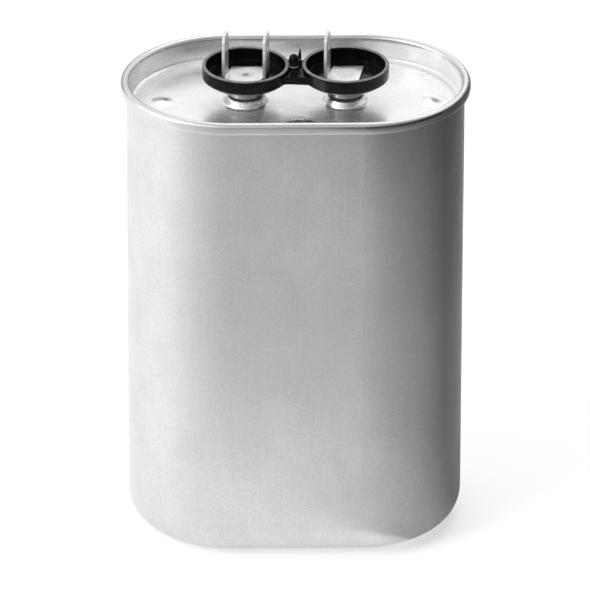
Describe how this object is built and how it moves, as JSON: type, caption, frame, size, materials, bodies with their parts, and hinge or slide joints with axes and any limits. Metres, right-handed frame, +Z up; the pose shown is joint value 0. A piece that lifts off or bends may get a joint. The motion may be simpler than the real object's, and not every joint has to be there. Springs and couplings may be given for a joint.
{
  "type": "oil-filled capacitor",
  "caption": "Oval drawn-metal capacitor can with a double-seamed lid, a black figure-eight terminal moulding and upright quick-connect tabs over a sealed film winding.",
  "frame": {"origin": "middle of the can's flat base", "axes": "+Z up to the terminals, +X along the lid's long axis towards the single-tab terminal, -Y is the front with the solder dome"},
  "size_m": [0.093, 0.058, 0.1432],
  "materials": {
    "can_aluminium": "dull drawn aluminium with fine mottling",
    "lid_tinplate": "bright rolled tinplate",
    "solder": "smooth solder",
    "terminal_tin": "tin-plated strip with bright sheared edges",
    "black_moulding": "glossy moulded",
    "seal_rubber": "matt",
    "seam_lining": "cured lining compound",
    "bushing_board": "moulded phenolic",
    "lug_brass": "plain rolled",
    "lead_copper": "plain rolled copper strip",
    "spacer_plastic": "natural moulded",
    "end_spray": "rough sprayed zinc",
    "film": "metallised film wound in layers",
    "wrap_paper": "oil-soaked kraft"
  },
  "bodies": {
    "root": {"can": "can_aluminium", "lid": "lid_tinplate", "seam_compound": "seam_lining", "fill_plug": "solder", "terminal_bridge": "black_moulding", "left_fork": "terminal_tin", "right_tab": "terminal_tin", "left_rivet": "terminal_tin", "right_rivet": "terminal_tin", "left_seal": "seal_rubber", "right_seal": "seal_rubber", "left_bushing": "bushing_board", "right_bushing": "bushing_board", "left_lug": "lug_brass", "right_lug": "lug_brass", "left_lead": "lead_copper", "right_lead": "lead_copper", "upper_spacer": "spacer_plastic", "upper_spray": "end_spray", "winding": "film", "lower_spray": "end_spray", "winding_wrap": "wrap_paper", "lower_cradle": "spacer_plastic"}
  },
  "joints": []
}
